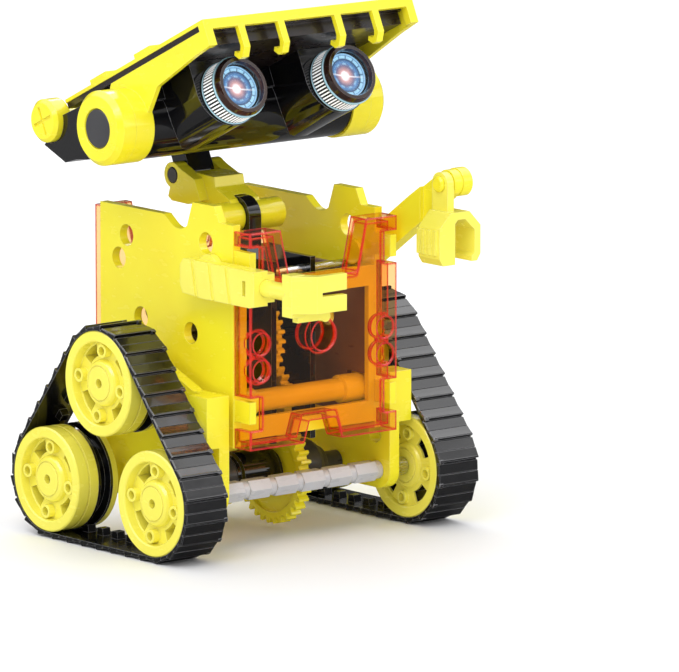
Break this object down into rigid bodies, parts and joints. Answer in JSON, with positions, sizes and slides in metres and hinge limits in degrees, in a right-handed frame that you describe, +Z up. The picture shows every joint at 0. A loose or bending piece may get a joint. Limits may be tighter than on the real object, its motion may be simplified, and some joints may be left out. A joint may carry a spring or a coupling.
{
  "type": "tracked robot toy",
  "caption": "Tracked toy robot with triangular belts, a boxy body under clear covers, a two-lens head below a solar roof, a gripping hand and a hanging claw.",
  "frame": {"origin": "on the floor under the middle of the whole robot's box", "axes": "+X to the right seen from the front, +Y to the rear, +Z up"},
  "size_m": [0.12, 0.1196, 0.1722],
  "materials": {
    "yellow_plastic": "glossy moulded ABS",
    "orange_clear": "clear glossy tinted plastic",
    "black_gloss": "glossy",
    "dark_grey": "satin",
    "track_rubber": "smooth glossy rubber",
    "light_grey": "satin moulded plastic",
    "steel": "bright",
    "ridged_ring": "black with bright ridges",
    "bezel": "dark copper brown, glossy",
    "lens_glass": "clear",
    "lamp": "lit",
    "solar_cell": "dark coated cells",
    "motor_metal": "satin"
  },
  "bodies": {
    "chassis": {"side_plate_left": "yellow_plastic", "side_plate_right": "yellow_plastic", "front_cover": "orange_clear", "rear_cover": "orange_clear", "inner_frame": "yellow_plastic", "cross_tube": "yellow_plastic", "gearbox_plate_left": "black_gloss", "gearbox_plate_right": "black_gloss", "wall_liner": "black_gloss", "gearbox_tie_rods": "steel", "gear_pins": "steel", "motor_can": "motor_metal", "track_frame_left": "yellow_plastic", "track_frame_right": "yellow_plastic", "frame_screws": "steel", "track_belt_left": "track_rubber", "track_belt_right": "track_rubber", "neck_mast": "black_gloss", "neck_lower_pin": "steel"},
    "rear_wheels": {"rear_axle": "steel", "rear_gear": "yellow_plastic", "rear_axle_sleeves": "light_grey", "wheel_discs_rear": "yellow_plastic", "wheel_cores_rear": "black_gloss"},
    "front_wheels": {"front_axle": "steel", "hex_beads": "light_grey", "wheel_discs_front": "yellow_plastic", "wheel_cores_front": "black_gloss"},
    "top_wheel_left": {"top_axle_left": "steel", "wheel_discs_top_left": "yellow_plastic", "wheel_core_top_left": "black_gloss"},
    "top_wheel_right": {"top_axle_right": "steel", "wheel_discs_top_right": "yellow_plastic", "wheel_core_top_right": "black_gloss"},
    "drive": {"drive_shaft": "dark_grey", "drive_gear": "yellow_plastic", "drive_drum_black": "black_gloss", "drive_drum_grey": "dark_grey"},
    "lower_gear": {"compound_gear_lower": "yellow_plastic"},
    "upper_gear": {"compound_gear_upper": "yellow_plastic"},
    "pinion": {"motor_pinion": "light_grey"},
    "neck": {"neck_block": "yellow_plastic", "neck_upper_pin": "dark_grey"},
    "head": {"head_bracket": "black_gloss", "head_housing": "black_gloss", "focus_rings": "ridged_ring", "lens_bezels": "bezel", "lenses": "lens_glass", "lens_lamps": "lamp", "end_caps": "yellow_plastic", "cap_discs": "dark_grey", "roof_frame": "yellow_plastic", "solar_module": "black_gloss", "solar_cells": "solar_cell", "rear_rod": "yellow_plastic"},
    "arm_left": {"left_forearm": "yellow_plastic"},
    "hand_left": {"left_hand": "yellow_plastic"},
    "arm_right": {"right_arm": "yellow_plastic", "claw_pin": "yellow_plastic"},
    "claw_right": {"right_claw": "yellow_plastic"}
  },
  "joints": [
    {"name": "rear_axle_spin", "type": "hinge", "parent": "chassis", "child": "rear_wheels", "pos_m": [0, 0.0393, 0.019], "axis": [1, 0, 0], "continuous": true},
    {"name": "front_axle_spin", "type": "hinge", "parent": "chassis", "child": "front_wheels", "pos_m": [0, -0.0147, 0.019], "axis": [1, 0, 0], "continuous": true},
    {"name": "top_left_spin", "type": "hinge", "parent": "chassis", "child": "top_wheel_left", "pos_m": [-0.05, 0.0123, 0.0538], "axis": [1, 0, 0], "continuous": true},
    {"name": "top_right_spin", "type": "hinge", "parent": "chassis", "child": "top_wheel_right", "pos_m": [0.05, 0.0123, 0.0538], "axis": [1, 0, 0], "continuous": true},
    {"name": "drive_spin", "type": "hinge", "parent": "chassis", "child": "drive", "pos_m": [0, 0.0063, 0.019], "axis": [1, 0, 0], "continuous": true},
    {"name": "lower_gear_spin", "type": "hinge", "parent": "chassis", "child": "lower_gear", "pos_m": [0.005, 0.0063, 0.0425], "axis": [1, 0, 0], "continuous": true},
    {"name": "upper_gear_spin", "type": "hinge", "parent": "chassis", "child": "upper_gear", "pos_m": [0, 0.0063, 0.0635], "axis": [1, 0, 0], "continuous": true},
    {"name": "pinion_spin", "type": "hinge", "parent": "chassis", "child": "pinion", "pos_m": [-0.0015, 0.02449, 0.074], "axis": [1, 0, 0], "continuous": true},
    {"name": "neck_tilt", "type": "hinge", "parent": "chassis", "child": "neck", "pos_m": [0, 0.0133, 0.1015], "axis": [1, 0, 0], "range_deg": [-10, 12]},
    {"name": "head_tilt", "type": "hinge", "parent": "neck", "child": "head", "pos_m": [0, 0.0375, 0.1127], "axis": [1, 0, 0], "range_deg": [-15, 18]},
    {"name": "left_shoulder", "type": "hinge", "parent": "chassis", "child": "arm_left", "pos_m": [-0.032, -0.01, 0.0901], "axis": [1, 0, 0], "range_deg": [-30, 20]},
    {"name": "left_wrist", "type": "hinge", "parent": "arm_left", "child": "hand_left", "pos_m": [-0.032, -0.0477, 0.088], "axis": [0, 1, 0], "range_deg": [-90, 90]},
    {"name": "right_shoulder", "type": "hinge", "parent": "chassis", "child": "arm_right", "pos_m": [0.032, -0.01, 0.0901], "axis": [1, 0, 0], "range_deg": [-12, 35]},
    {"name": "right_claw_swing", "type": "hinge", "parent": "arm_right", "child": "claw_right", "pos_m": [0.033, -0.0472, 0.11595], "axis": [1, 0, 0], "range_deg": [-60, 0]}
  ],
  "couplings": [
    {"joint": "front_axle_spin", "follows": "rear_axle_spin", "ratio": 1},
    {"joint": "top_left_spin", "follows": "rear_axle_spin", "ratio": 1},
    {"joint": "top_right_spin", "follows": "rear_axle_spin", "ratio": 1},
    {"joint": "drive_spin", "follows": "rear_axle_spin", "ratio": -1},
    {"joint": "lower_gear_spin", "follows": "rear_axle_spin", "ratio": 2.3571},
    {"joint": "upper_gear_spin", "follows": "rear_axle_spin", "ratio": -4.7143},
    {"joint": "pinion_spin", "follows": "rear_axle_spin", "ratio": 9.4286}
  ]
}
